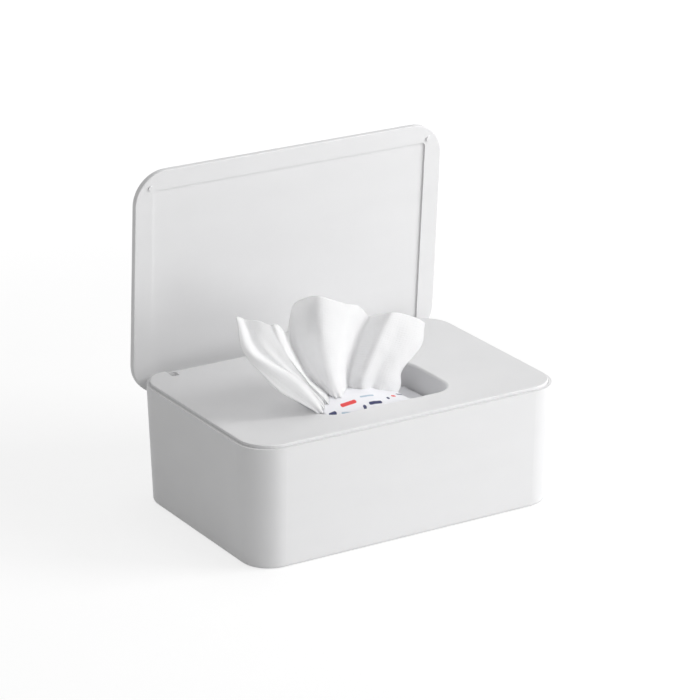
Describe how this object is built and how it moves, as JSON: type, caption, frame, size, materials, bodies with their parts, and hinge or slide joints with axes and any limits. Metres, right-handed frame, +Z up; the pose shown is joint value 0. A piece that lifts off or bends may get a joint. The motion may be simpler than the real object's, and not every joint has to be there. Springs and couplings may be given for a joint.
{
  "type": "wipes dispenser box",
  "caption": "Countertop box for wet wipes: drafted tray, lift-off inner cover with a dispensing throat, flat hinged lid with moulded pins, film refill pack and a pulled wipe.",
  "frame": {"origin": "middle of the flat underside", "axes": "+X to the right along the long side, +Y to the rear where the lid is hinged, +Z up"},
  "size_m": [0.19, 0.1341, 0.1816],
  "materials": {
    "white_plastic": "fine satin",
    "pack_film": "soft gloss film",
    "nonwoven": "damp nonwoven"
  },
  "bodies": {
    "body": {"body_shell": "white_plastic", "film_pouch": "pack_film", "wipe_stack": "nonwoven"},
    "deck": {"deck_cover": "white_plastic"},
    "lid": {"lid_shell": "white_plastic"},
    "wipe": {"pulled_wipe": "nonwoven"}
  },
  "joints": [
    {"name": "deck_lift", "type": "slide", "parent": "body", "child": "deck", "axis": [0, 0, 1], "range_m": [0, 0.09]},
    {"name": "lid_hinge", "type": "hinge", "parent": "deck", "child": "lid", "pos_m": [0, 0.0568, 0.06055], "axis": [-1, 0, 0], "range_deg": [-85.8, 0], "deforming": ["pulled_wipe"]},
    {"name": "wipe_pull", "type": "slide", "parent": "deck", "child": "wipe", "axis": [0, 0, 1], "range_m": [0, 0.12]}
  ]
}
